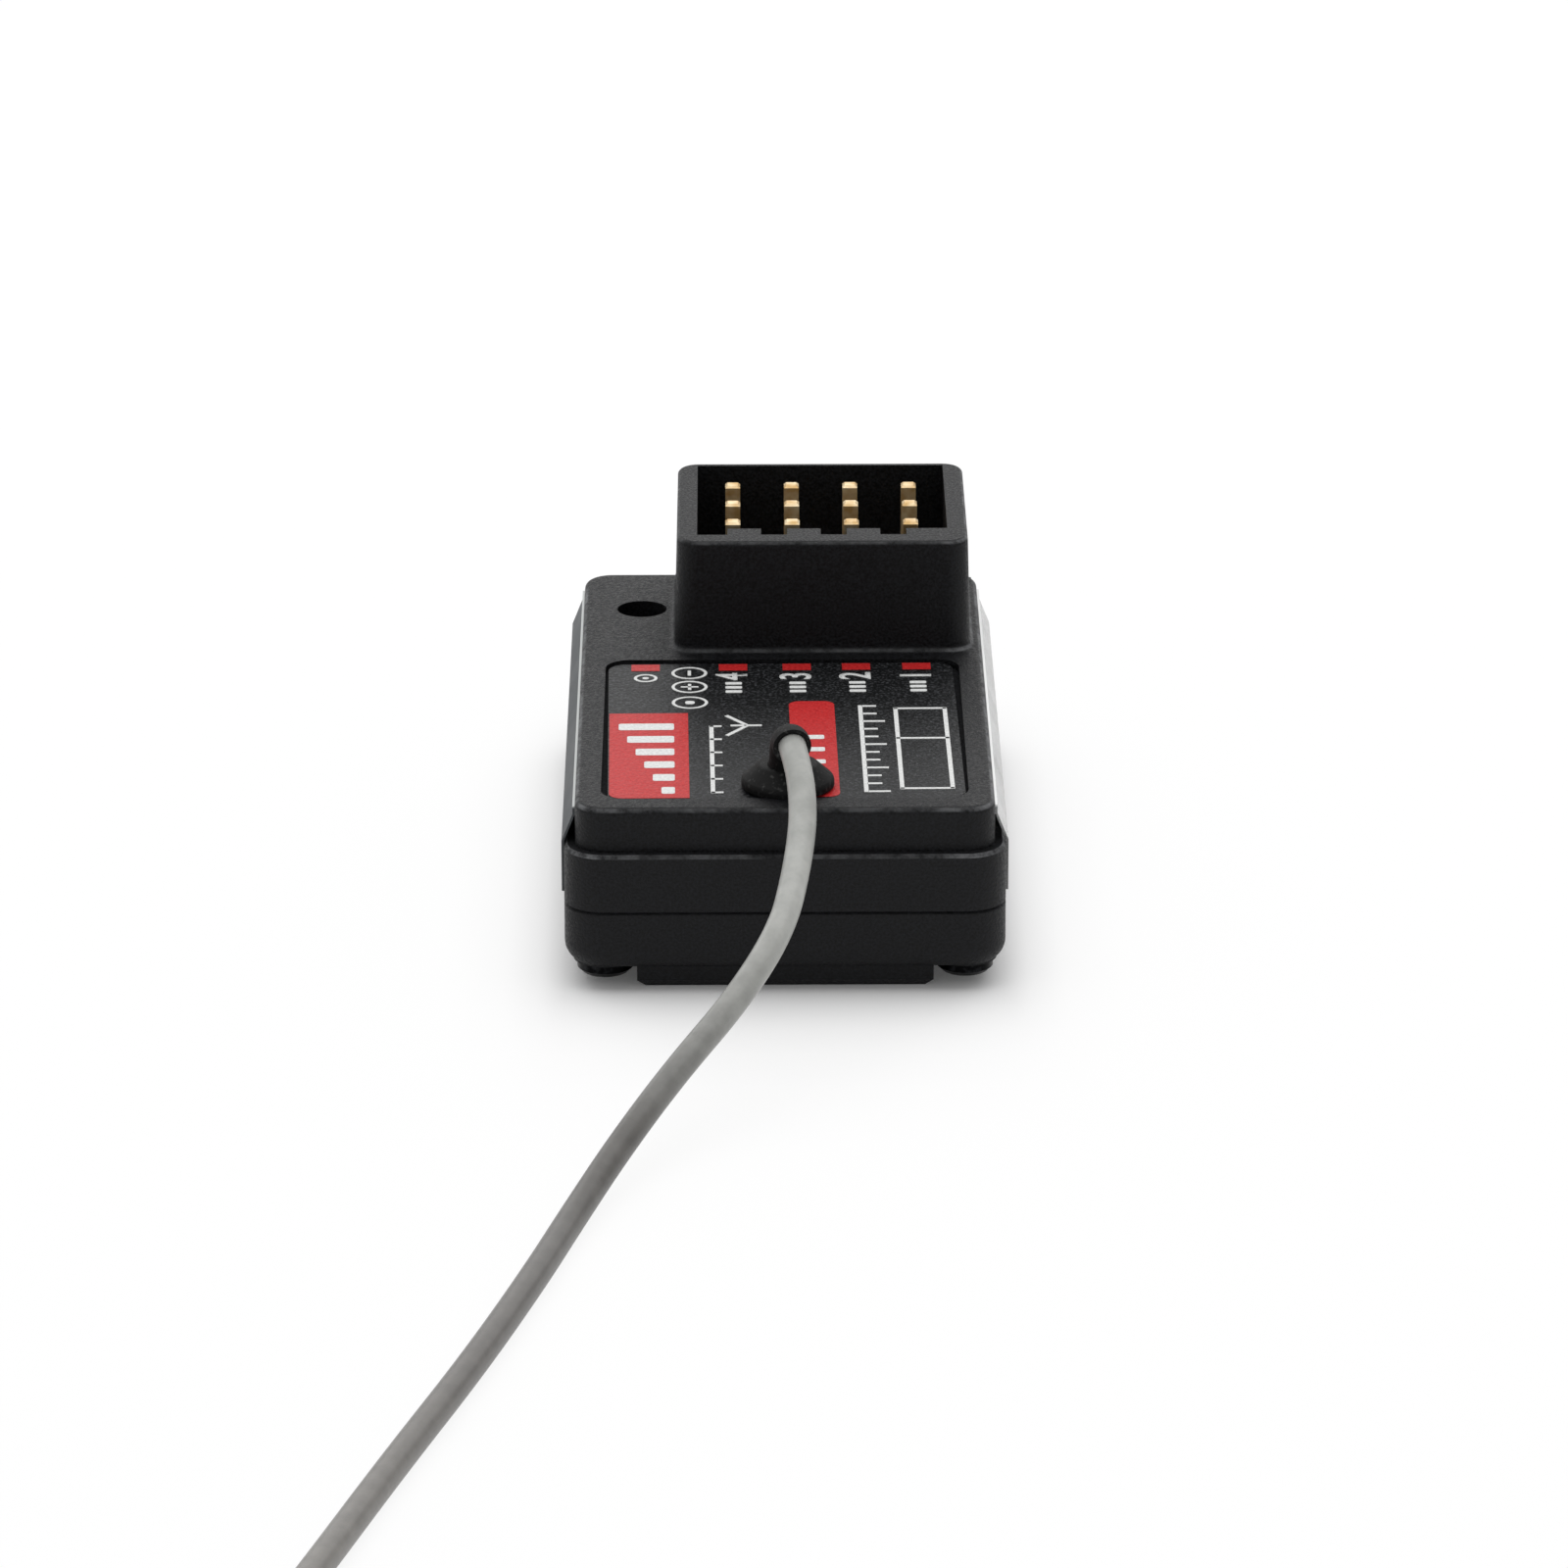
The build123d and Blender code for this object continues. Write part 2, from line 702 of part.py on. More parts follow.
def antenna_grommet():
    """Rubber grommet: inner flange, neck, domed outer flange and a nipple that bends over."""
    top = deck_height
    rim_height = top + flange_edge_share * flange_rise
    centre = (grommet_x, grommet_y)
    neck_radius = grommet_hole_radius - grommet_fit
    profile = [
        (0, deck_underside - inner_flange_height),
        (inner_flange_radius, deck_underside - inner_flange_height),
        (inner_flange_radius, deck_underside),
        (neck_radius, deck_underside),
        (neck_radius, top),
        (flange_radius, top),
        (flange_radius, rim_height),
        (flange_top_share * flange_radius, top + flange_rise),
        (0, top + flange_rise),
    ]
    face = make_face(Polyline(*profile, close=True))
    body = Pos(*centre) * revolve(Plane.XZ * face, axis=Axis.Z)
    crown = edges_at(body, rim_height) + edges_at(body, top + flange_rise)
    body = fillet(crown, flange_round_share * flange_rise)
    knee, crook = [Vector(*point) for point in inner_lead_points()[2:4]]
    lean = (crook - knee).normalized()
    root = knee + lean * ((top + nipple_root_height - knee.Z) / lean.Z)
    length = (crook - root).length - crook_arc()[1]
    frame = Plane(origin=root, z_dir=lean)
    taper_end = nipple_taper * nipple_tip_radius
    cone = Cone(nipple_root_radius, taper_end, length, align=(Align.CENTER, Align.CENTER, Align.MIN))
    nipple = frame * cone + Pos(*root) * Sphere(nipple_root_radius) + lead_tube(nipple_tip_radius)
    above_size = (case_width, case_width, case_width)
    body = body + (nipple & block(above_size, centre, top))
    return body - lead_tube(coax_radius + lead_clearance)


def coil_place():
    """Centre of the coil and the angle at which the cord comes in, from the last run."""
    before, entry = coax_route[-2], coax_route[-1]
    heading = atan2(entry[1] - before[1], entry[0] - before[0])
    radius = coil_diameter / 2
    centre = (entry[0] - radius * sin(heading), entry[1] + radius * cos(heading))
    return centre, heading - pi / 2


def antenna_coax():
    """The free antenna cord from the grommet to the coil."""
    radii = arc_radii(coax_route)
    tube, path = swept_tube(coax_route, radii, coax_radius)
    print("coax arc radii:", [round(value, 2) for value in radii])
    section = pi * coax_radius ** 2
    print("coax tube length %.1f, volume ratio %.4f" % (path.length, tube.volume / section / path.length))
    return tube


def element_start():
    """Where the bare element leaves the coil, and its direction down to the surface."""
    centre, entry_angle = coil_place()
    angle = entry_angle + 2 * pi * coil_turns
    radius = coil_diameter / 2 + coax_diameter
    level = coax_route[-1][2]
    start = Vector(centre[0] + radius * cos(angle), centre[1] + radius * sin(angle), level)
    drop = level - element_diameter / 2
    run = (element_length ** 2 - drop ** 2) ** 0.5
    along = Vector(-sin(angle) * run, cos(angle) * run, -drop)
    return start, along.normalized()


def antenna_element():
    """The bare quarter-wave end of the antenna, a thin straight insulated core."""
    start, along = element_start()
    frame = Plane(origin=start, z_dir=along)
    return frame * Cylinder(
        element_diameter / 2, element_length, align=(Align.CENTER, Align.CENTER, Align.MIN)
    )


def coil_ring(angle_from, angle_to, inner, outer, bottom, top, edge):
    """Part of a ring about the coil's centre with a rounded section, angles in degrees."""
    centre, entry_angle = coil_place()
    rectangle = Pos((inner + outer) / 2, (bottom + top) / 2) * Rectangle(outer - inner, top - bottom)
    section = chamfer(rectangle.vertices(), edge)
    ring = revolve(Plane.XZ * section, axis=Axis.Z, revolution_arc=angle_to - angle_from)
    return Pos(centre[0], centre[1], 0) * Rot(0, 0, angle_from) * ring


def antenna_coil():
    """The outer shape of the coiled length: two strands side by side and a crossing hump."""
    level = coax_route[-1][2]
    inner = coil_diameter / 2 - coax_radius
    outer = coil_diameter / 2 + coax_diameter + coax_radius
    bottom, top = level - coax_radius, level + coax_radius
    coil = coil_ring(0, 360, inner, outer, bottom, top, 0.3 * coax_diameter)
    hump = coil_ring(100, 200, outer - coax_diameter - coax_radius, outer - 0.1, level, top + coax_diameter, 0.2)
    coil = coil + hump
    entry = Vector(*coax_route[-1])
    back = (Vector(*coax_route[-2]) - entry).normalized()
    groove = Plane(origin=entry, z_dir=back) * Cylinder(
        coax_radius + tie_gap, coil_diameter, align=(Align.CENTER, Align.CENTER, Align.MIN)
    )
    start, along = element_start()
    relief = Plane(origin=start, z_dir=along) * Cylinder(
        element_diameter / 2 + tie_gap, element_length, align=(Align.CENTER, Align.CENTER, Align.MIN)
    )
    return coil - groove - relief


def coil_tie():
    """A flat tie round both strands, with its twisted tail pointing outwards."""
    centre, entry_angle = coil_place()
    level = coax_route[-1][2]
    inner = coil_diameter / 2 - coax_radius - tie_gap
    outer = coil_diameter / 2 + coax_diameter + coax_radius + tie_gap
    bottom, top = level - coax_radius - tie_gap, level + coax_radius + tie_gap
    half_angle = degrees(tie_width / coil_diameter)
    span = (tie_angle - half_angle, tie_angle + half_angle)
    edge = tie_thickness
    sleeve = coil_ring(*span, inner - tie_thickness, outer + tie_thickness, 0, top + tie_thickness, edge)
    sleeve = sleeve - coil_ring(*span, inner, outer, bottom, top, 0.27 * coax_diameter)
    tail = Cylinder(tie_tail_radius, tie_tail_length, align=(Align.CENTER, Align.CENTER, Align.MIN))
    tail = Pos(outer + 0.5 * tie_thickness, 0, level) * Rot(0, 90, 0) * tail
    return sleeve + Pos(centre[0], centre[1], 0) * Rot(0, 0, tie_angle) * tail


def coax_socket():
    """Board receptacle for the antenna: a square base with a round contact ring."""
    x = inner_lead_points()[0][0]
    base = block((connector_base, connector_base, connector_base_height), (x, plug_y), board_top)
    ring_bottom = board_top + connector_base_height
    ring = rod(connector_ring_radius, connector_ring_height, (x, plug_y), ring_bottom)
    ring = ring - rod(connector_ring_radius - plug_wall, connector_ring_height, (x, plug_y), ring_bottom)
    return base + ring + rod(connector_pin_radius, connector_ring_height, (x, plug_y), ring_bottom)


def coax_plug():
    """Stamped plug that snaps over the receptacle and is crimped round the lead."""
    x, y, level = inner_lead_points()[0]
    bottom = board_top + connector_base_height
    cap = rod(plug_radius, plug_height, (x, plug_y), bottom)
    hollow_radius = connector_ring_radius + plug_clearance
    hollow = rod(hollow_radius, connector_ring_height + plug_clearance, (x, plug_y), bottom)
    barrel_length = crimp_length - crimp_gap
    barrel_y = y + barrel_length / 2
    barrel = Pos(x, barrel_y, level) * Rot(90, 0, 0) * Cylinder(crimp_radius, barrel_length)
    web_back = plug_y - connector_ring_radius
    web_size = (crimp_radius, web_back - barrel_y, level - bottom)
    web = block(web_size, (x, (barrel_y + web_back) / 2), bottom)
    return cap + web + barrel - hollow


def rf_shield_can():
    """Drawn screening can, open below, soldered over the radio chip."""
    can = block((can_width, can_length, can_height), (can_x, can_y), board_top)
    can = fillet(edges_at(can, board_top + can_height), can_wall)
    inside = (can_width - 2 * can_wall, can_length - 2 * can_wall, can_height - can_wall)
    return can - block(inside, (can_x, can_y), board_top)


def rf_transceiver():
    """Flat no-lead radio chip under the can."""
    size = (radio_chip_side, radio_chip_side, radio_chip_height)
    chip = block(size, (can_x, can_y), board_top)
    return chamfer(edges_at(chip, board_top + radio_chip_height), radio_chip_edge)


def microcontroller():
    """Flat-pack processor under the board, with gull-wing leads on four sides."""
    body_height = processor_height - processor_standoff
    body = block((processor_side, processor_side, body_height), (0, 0), processor_standoff)
    body = chamfer(edges_at(body, processor_height), processor_edge)
    half = processor_side / 2
    middle = processor_standoff + body_height / 2
    shoulder = half + lead_shoulder
    lead_profile = [
        (half - lead_root, middle),
        (shoulder, middle),
        (shoulder, lead_thickness),
        (half + lead_reach, lead_thickness),
        (half + lead_reach, 0),
        (shoulder - lead_thickness, 0),
        (shoulder - lead_thickness, middle - lead_thickness),
        (half - lead_root, middle - lead_thickness),
    ]
    lead = extrude(Plane.XZ * make_face(Polyline(*lead_profile, close=True)), lead_width / 2, both=True)
    for turn in range(4):
        for number in range(lead_count):
            offset = (number - (lead_count - 1) / 2) * lead_pitch
            body = body + Rot(0, 0, 90 * turn) * Pos(0, offset, 0) * lead
    return Pos(0, processor_y, board_underside) * Rot(180, 0, 0) * body


def crystal():
    """Metal-lidded crystal on a ceramic base."""
    base = block((crystal_length, crystal_width, crystal_base_height), crystal_centre, board_top)
    lid_length = crystal_length - 2 * crystal_lid_margin
    lid_size = (lid_length, crystal_width - 2 * crystal_lid_margin, crystal_height - crystal_base_height)
    lid = block(lid_size, crystal_centre, board_top + crystal_base_height)
    return base + chamfer(edges_at(lid, board_top + crystal_height), crystal_edge)


def voltage_regulator():
    """Surface-mount regulator: a drafted body with three legs on each side."""
    outline = Rectangle(regulator_length, regulator_width)
    body_height = regulator_height - regulator_standoff
    body = Pos(0, 0, regulator_standoff) * extrude(outline, amount=body_height, taper=regulator_draft)
    leg_size = (regulator_leg_width, regulator_width + 2 * regulator_leg_reach, regulator_leg_height)
    for place in (-1, 0, 1):
        body = body + block(leg_size, (place * regulator_leg_pitch, 0), 0)
    return Pos(*regulator_centre, board_top) * body


def power_inductor():
    """Shielded power inductor with a round core in a square ferrite frame."""
    frame = block((inductor_side, inductor_side, inductor_height), inductor_centre, board_top)
    frame = chamfer([edge for edge in frame.edges() if abs((edge % 0.5).Z) > 0.9], inductor_corner)
    groove_bottom = board_top + inductor_height - inductor_groove_depth
    groove = rod(inductor_groove_radius, 2 * inductor_groove_depth, inductor_centre, groove_bottom)
    core = rod(inductor_core_radius, 2 * inductor_groove_depth, inductor_centre, groove_bottom)
    return frame - (groove - core)


def tantalum_capacitor():
    """Moulded tantalum block between two folded end terminals."""
    length = tantalum_length - 2 * terminal_thickness
    body_size = (length, tantalum_width, tantalum_height - terminal_thickness)
    body = block(body_size, (0, 0), terminal_thickness)
    body = chamfer(edges_at(body, tantalum_height), tantalum_edge)
    for side in (-1, 1):
        face_x = side * (length + terminal_thickness) / 2
        foot_x = side * (tantalum_length - terminal_foot) / 2
        body = body + block((terminal_thickness, terminal_width, terminal_height), (face_x, 0), 0)
        body = body + block((terminal_foot, terminal_width, terminal_thickness), (foot_x, 0), 0)
    return Pos(*tantalum_centre, board_top) * body


def chip_parts(size, places):
    """Small chip parts with raised metal ends, as separate solids."""
    length, width, height = size
    core = block((length, width - 2 * chip_relief, height - 2 * chip_relief), (0, 0), chip_relief)
    for side in (-1, 1):
        end_x = side * (length - chip_end_length) / 2
        core = core + block((chip_end_length, width, height), (end_x, 0), 0)
    return [Pos(x, y, board_top) * Rot(0, 0, turn) * core for x, y, turn in places]


def status_led():
    """Surface-mount lamp under the deck's hole: base with a clear moulded top."""
    base = block((lamp_length, lamp_width, lamp_base_height), (lamp_x, lamp_y), board_top)
    lens_size = (lens_length, lamp_width, lamp_height - lamp_base_height)
    lens = block(lens_size, (lamp_x, lamp_y), board_top + lamp_base_height)
    return base + chamfer(edges_at(lens, board_top + lamp_height), lens_edge)


nodes = {
    "top_shell": top_shell(),
    "bottom_shell": bottom_shell(),
    "case_seal": case_seal(),
    "case_screws": case_screws(),
    "circuit_board": circuit_board(),
    "header_strip_signal": header_strip(strip_y[0]),
    "header_strip_power": header_strip(strip_y[1]),
    "header_strip_ground": header_strip(strip_y[2]),
    "signal_pins": pin_row(strip_y[0]),
    "power_pins": pin_row(strip_y[1]),
    "ground_pins": pin_row(strip_y[2]),
    "top_label": top_label(),
    "side_film_left": side_film(-1),
    "side_film_right": side_film(1),
    "antenna_grommet": antenna_grommet(),
    "coax_socket": coax_socket(),
    "coax_plug": coax_plug(),
    "coax_inner_lead": coax_inner_lead(),
    "antenna_coax": antenna_coax(),
    "antenna_coil": antenna_coil(),
    "antenna_element": antenna_element(),
    "coil_tie": coil_tie(),
    "rf_shield_can": rf_shield_can(),
    "rf_transceiver": rf_transceiver(),
    "microcontroller": microcontroller(),
    "crystal": crystal(),
    "voltage_regulator": voltage_regulator(),
    "power_inductor": power_inductor(),
    "tantalum_capacitor": tantalum_capacitor(),
    "chip_capacitors": chip_parts(capacitor_size, capacitor_places),
    "chip_resistors": chip_parts(resistor_size, resistor_places),
    "status_led": status_led(),
}

os.makedirs("parts", exist_ok=True)
for name, shape in nodes.items():
    solids = shape if isinstance(shape, list) else [shape]
    solid = Compound(children=[Part() + one for one in solids]) if len(solids) > 1 else solids[0]
    solid.label = name
    export_step(solid, "parts/" + name + ".step")
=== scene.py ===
"""RC receiver: a small black case with a servo socket block, a printed label and one antenna lead."""

from math import cos, radians, sin

import bpy
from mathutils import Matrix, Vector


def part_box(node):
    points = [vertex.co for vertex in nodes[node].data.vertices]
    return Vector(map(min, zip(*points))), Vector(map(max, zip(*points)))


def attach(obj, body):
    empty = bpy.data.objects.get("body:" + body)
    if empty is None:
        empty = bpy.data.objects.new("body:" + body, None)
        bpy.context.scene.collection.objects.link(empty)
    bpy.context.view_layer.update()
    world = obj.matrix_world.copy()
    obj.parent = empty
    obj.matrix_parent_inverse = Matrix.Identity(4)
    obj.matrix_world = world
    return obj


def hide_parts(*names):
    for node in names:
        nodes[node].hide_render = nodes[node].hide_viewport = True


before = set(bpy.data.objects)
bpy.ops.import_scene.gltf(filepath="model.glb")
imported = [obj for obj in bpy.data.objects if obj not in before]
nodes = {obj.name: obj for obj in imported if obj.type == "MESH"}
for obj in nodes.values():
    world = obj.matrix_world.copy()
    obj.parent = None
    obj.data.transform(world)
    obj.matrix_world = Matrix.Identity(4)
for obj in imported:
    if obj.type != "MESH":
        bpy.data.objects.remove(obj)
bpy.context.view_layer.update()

# Case shells.
# Two injection-moulded halves of black ABS: the lower one is a tray with a pad that it stands
# on, the upper one carries the stepped deck and the tall servo socket block.
# The mould was spark-eroded, so every face has the same fine grain.


def linear(code):
    """The linear colour of an sRGB hex code."""
    channels = [int(code[start:start + 2], 16) / 255 for start in (0, 2, 4)]
    return (*(c / 12.92 if c <= 0.04045 else ((c + 0.055) / 1.055) ** 2.4 for c in channels), 1.0)


def add(tree, kind, settings=None, **inputs):
    """Adds a node, and gives its inputs, by name or as i and a number, a value or a link."""
    node = tree.nodes.new(kind)
    for name, value in (settings or {}).items():
        setattr(node, name, value)
    for name, value in inputs.items():
        numbered = name[0] == "i" and name[1:].isdigit()
        socket = node.inputs[int(name[1:]) if numbered else name.replace("_", " ")]
        if isinstance(value, bpy.types.NodeSocket):
            tree.links.new(value, socket)
        else:
            socket.default_value = value
    return node


def new_material(name):
    """An empty material, its node tree and its coordinates."""
    material = bpy.data.materials.new(name)
    material.use_nodes = True
    material.node_tree.nodes.clear()
    tree = material.node_tree
    return material, tree, add(tree, "ShaderNodeTexCoord").outputs["Object"]


def close(tree, surface):
    """Ends a material's tree with its output."""
    add(tree, "ShaderNodeOutputMaterial", Surface=surface.outputs[0])


def ramp(tree, value, stops):
    """Colours along a value, from (position, hex) stops."""
    node = add(tree, "ShaderNodeValToRGB", Fac=value)
    elements = node.color_ramp.elements
    while len(elements) < len(stops):
        elements.new(0.5)
    for element, (position, code) in zip(elements, stops):
        element.position = position
        element.color = linear(code)
    return node.outputs["Color"]


def give(material, *names):
    """Puts a material on CAD nodes, whose mesh stays as it is."""
    for name in names:
        nodes[name].data.materials.clear()
        nodes[name].data.materials.append(material)


# Black ABS, moulded against a spark-eroded tool: a charcoal grey sheen on faces that are seen
# at a low angle, near black where they are seen straight on. The grain is 0.11 mm, drawn as
# coarse as that to show, where the real one is about 0.05 mm. The rounded edges that look
# upwards are painted a paler grey in broken patches, most at the corners: a painted highlight
# where they face the lamps. Level faces on the ledge and in the label's recess stay fully
# rough and dull.
abs_grain = 0.00011
highlight_patch_size = 0.0009
highlight_above = 0.0045
dull_below = 0.0077
corner_from, corner_to = 0.0058, 0.0078
abs_black, tree, place = new_material("abs_moulded_black")
grain = add(tree, "ShaderNodeTexNoise", Vector=place, Scale=1 / abs_grain, Detail=3.0, Roughness=0.65)
shade = ramp(tree, grain.outputs["Fac"], [(0.40, "030304"), (0.68, "1e1f22")])
facing = add(tree, "ShaderNodeNewGeometry")
tilt = add(tree, "ShaderNodeSeparateXYZ", Vector=facing.outputs["Normal"])
where = add(tree, "ShaderNodeSeparateXYZ", Vector=place)
# Mask of the painted highlight: fillets tilted between flat and upright, above a height, towards the
# corners, in broken patches.
edge = ramp(
    tree, tilt.outputs["Z"], [(0.30, "000000"), (0.55, "ffffff"), (0.80, "ffffff"), (0.93, "000000")],
)
highlight_height = add(
    tree, "ShaderNodeMath", {"operation": "GREATER_THAN"}, i0=where.outputs["Z"], i1=highlight_above,
)
sideways = add(tree, "ShaderNodeMath", {"operation": "ABSOLUTE"}, i0=where.outputs["X"])
corner = add(
    tree, "ShaderNodeMapRange", Value=sideways.outputs[0],
    From_Min=corner_from, From_Max=corner_to, To_Min=0.40, To_Max=1.0,
)
highlight_patches = add(tree, "ShaderNodeTexNoise", Vector=place, Scale=1 / highlight_patch_size, Detail=4.0, Roughness=0.7)
painted_highlight = add(tree, "ShaderNodeMapRange", Value=highlight_patches.outputs["Fac"], From_Min=0.36, From_Max=0.64)
for part in (edge, highlight_height.outputs[0], corner.outputs["Result"]):
    painted_highlight = add(tree, "ShaderNodeMath", {"operation": "MULTIPLY"}, i0=painted_highlight.outputs[0], i1=part)
# Painted highlight: the masked upward edges are mixed to a paler grey.
shade = add(
    tree, "ShaderNodeMix", {"data_type": "RGBA"}, i0=painted_highlight.outputs[0], i6=shade, i7=linear("67686a"),
)
gloss = add(
    tree, "ShaderNodeMapRange", Value=grain.outputs["Fac"],
    From_Min=0.38, From_Max=0.64, To_Min=0.36, To_Max=0.66,
)
level = add(tree, "ShaderNodeMath", {"operation": "GREATER_THAN"}, i0=tilt.outputs["Z"], i1=0.97)
deep = add(tree, "ShaderNodeMath", {"operation": "LESS_THAN"}, i0=where.outputs["Z"], i1=dull_below)
deep = add(tree, "ShaderNodeMath", {"operation": "MULTIPLY"}, i0=deep.outputs[0], i1=level.outputs[0])
gloss = add(
    tree, "ShaderNodeMath", {"operation": "MAXIMUM"}, i0=gloss.outputs["Result"], i1=deep.outputs[0],
)
bump = add(tree, "ShaderNodeBump", Height=grain.outputs["Fac"], Strength=1.0, Distance=0.00004)
surface = add(
    tree, "ShaderNodeBsdfPrincipled", Base_Color=shade.outputs[2], Roughness=gloss.outputs[0],
    IOR=1.53, Specular_IOR_Level=0.18, Normal=bump.outputs["Normal"],
)
close(tree, surface)
give(abs_black, "top_shell", "bottom_shell")

# Seam seal.
# A soft black silicone cord in the groove between the halves, pressed flat as they close. Its
# skin is satin and slightly cloudy.
silicone, tree, place = new_material("silicone_moulded_black")
cloud = add(tree, "ShaderNodeTexNoise", Vector=place, Scale=1 / 0.0006, Detail=3.0)
shade = ramp(tree, cloud.outputs["Fac"], [(0.3, "1b1b1c"), (0.7, "272829")])
surface = add(tree, "ShaderNodeBsdfPrincipled", Base_Color=shade, Roughness=0.55, IOR=1.42)
close(tree, surface)
give(silicone, "case_seal")

# Case screws.
# Two pan-head self-tapping screws, steel with a black oxide finish, driven up from below at
# the antenna end. The finish is rubbed a little paler in small patches.
oxide, tree, place = new_material("steel_black_oxide")
wear = add(tree, "ShaderNodeTexNoise", Vector=place, Scale=1 / 0.0004, Detail=5.0, Roughness=0.7)
shade = ramp(tree, wear.outputs["Fac"], [(0.50, "0c0c0d"), (0.74, "323335")])
bump = add(tree, "ShaderNodeBump", Height=wear.outputs["Fac"], Strength=0.2, Distance=0.00002)
surface = add(
    tree, "ShaderNodeBsdfPrincipled", Base_Color=shade, Metallic=1.0, Roughness=0.38,
    Normal=bump.outputs["Normal"],
)
close(tree, surface)
give(oxide, "case_screws")

# Circuit board and the parts soldered to it.
# A glass-epoxy board with green solder mask over its copper tracks. Its chips, can, crystal,
# inductor and capacitors lie inside the closed case, and only the lamp shows, through the hole
# in the deck.
mask, tree, place = new_material("solder_mask_green")
tracks = add(tree, "ShaderNodeTexVoronoi", {"distance": "MANHATTAN"}, Vector=place, Scale=1 / 0.0011)
shade = ramp(tree, tracks.outputs["Distance"], [(0.30, "0e3a22"), (0.42, "17552f")])
surface = add(
    tree, "ShaderNodeBsdfPrincipled", Base_Color=shade, Roughness=0.3, IOR=1.55, Coat_Weight=0.3,
)
close(tree, surface)
give(mask, "circuit_board")


def plain_part(name, dark, light, grain_mm, roughness, metallic=0.0, ior=1.5):
    """A small part's finish: two close shades that vary at the size of its grain."""
    material, tree, place = new_material(name)
    fleck = add(tree, "ShaderNodeTexNoise", Vector=place, Scale=1000 / grain_mm, Detail=3.0)
    shade = ramp(tree, fleck.outputs["Fac"], [(0.35, dark), (0.65, light)])
    bump = add(tree, "ShaderNodeBump", Height=fleck.outputs["Fac"], Strength=0.15, Distance=0.00002)
    inputs = {"IOR": ior} if metallic < 0.5 else {}
    surface = add(
        tree, "ShaderNodeBsdfPrincipled", Base_Color=shade, Roughness=roughness, Metallic=metallic,
        Normal=bump.outputs["Normal"], **inputs,
    )
    close(tree, surface)
    return material


# The can and the crystal's lid are bare metal, the connector is plated, and the rest have the
# plain moulded or fired surface of their kind.
give(plain_part("nickel_silver_drawn", "8f9093", "a9aaac", 0.6, 0.32, 1.0), "rf_shield_can")
give(plain_part("gold_flash_plated", "b98a45", "d2a65c", 0.2, 0.3, 1.0), "coax_socket", "coax_plug")
give(
    plain_part("epoxy_moulded_black", "161617", "202123", 0.15, 0.6),
    "rf_transceiver", "microcontroller", "voltage_regulator",
)
give(plain_part("kovar_lid_plated", "a8a7a2", "c3c2bd", 0.3, 0.28, 1.0), "crystal")
give(plain_part("ferrite_pressed", "2f2e30", "3d3c3f", 0.12, 0.7), "power_inductor")
give(plain_part("tantalum_resin_yellow", "a8721d", "bf872b", 0.2, 0.5), "tantalum_capacitor")
give(plain_part("ceramic_fired_brown", "6d5140", "80614d", 0.1, 0.45), "chip_capacitors")
give(plain_part("thick_film_black", "141516", "222325", 0.1, 0.4), "chip_resistors")
give(plain_part("led_resin_clear", "7f8a86", "9aa5a0", 0.3, 0.15, 0.0, 1.54), "status_led")

# Pin headers.
# Three strips of black glass-filled nylon, each with four square brass pins that are plated
# with nickel and gold. The pins stand up inside the socket block, one row behind the other.
nylon, tree, place = new_material("nylon_glass_filled_black")
fibre = add(tree, "ShaderNodeTexNoise", Vector=place, Scale=1 / 0.0002, Detail=4.0, Roughness=0.7)
shade = ramp(tree, fibre.outputs["Fac"], [(0.4, "101011"), (0.7, "1c1c1d")])
bump = add(tree, "ShaderNodeBump", Height=fibre.outputs["Fac"], Strength=0.2, Distance=0.00002)
surface = add(
    tree, "ShaderNodeBsdfPrincipled", Base_Color=shade, Roughness=0.5, IOR=1.53,
    Normal=bump.outputs["Normal"],
)
close(tree, surface)
give(nylon, "header_strip_signal", "header_strip_power", "header_strip_ground")

# Gold over nickel on drawn brass wire: a warm yellow with fine lengthwise draw marks, a
# little paler in patches where plugs have rubbed.
gold, tree, place = new_material("gold_plated_brass_wire")
stretch = add(tree, "ShaderNodeMapping", Vector=place, Scale=(1 / 0.00005, 1 / 0.00005, 1 / 0.0015))
draw = add(tree, "ShaderNodeTexNoise", Vector=stretch.outputs[0], Scale=1.0, Detail=2.0)
rub = add(tree, "ShaderNodeTexNoise", Vector=place, Scale=1 / 0.0007, Detail=2.0)
shade = ramp(tree, rub.outputs["Fac"], [(0.35, "d0ae78"), (0.65, "f2e0bd")])
gloss = add(tree, "ShaderNodeMapRange", Value=draw.outputs["Fac"], To_Min=0.42, To_Max=0.62)
bump = add(tree, "ShaderNodeBump", Height=draw.outputs["Fac"], Strength=0.15, Distance=0.00001)
surface = add(
    tree, "ShaderNodeBsdfPrincipled", Base_Color=shade, Metallic=1.0, Roughness=gloss.outputs["Result"],
    Normal=bump.outputs["Normal"],
)
close(tree, surface)
give(gold, "signal_pins", "power_pins", "ground_pins")

# Top label.
# Polyester label stock with a pale core, printed black all over, die-cut with rounded corners
# and stuck in the deck's recess. Its surface has a fine orange peel and a little pale dust.
peel_size = 0.00022
dust_size = 0.00012
deck_label, tree, place = new_material("polyester_label_printed")
peel = add(tree, "ShaderNodeTexNoise", Vector=place, Scale=1 / peel_size, Detail=3.0, Roughness=0.5)
dust = add(tree, "ShaderNodeTexNoise", Vector=place, Scale=1 / dust_size, Detail=2.0)
shade = ramp(tree, dust.outputs["Fac"], [(0.50, "0e0f10"), (0.74, "46474a")])
label_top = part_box("top_label")[1].z
print_coat = 0.00003
height = add(tree, "ShaderNodeSeparateXYZ", Vector=place)
cut = add(
    tree, "ShaderNodeMapRange", Value=height.outputs["Z"],
    From_Min=label_top - print_coat, From_Max=label_top - print_coat / 3, To_Min=1.0, To_Max=0.0,
)
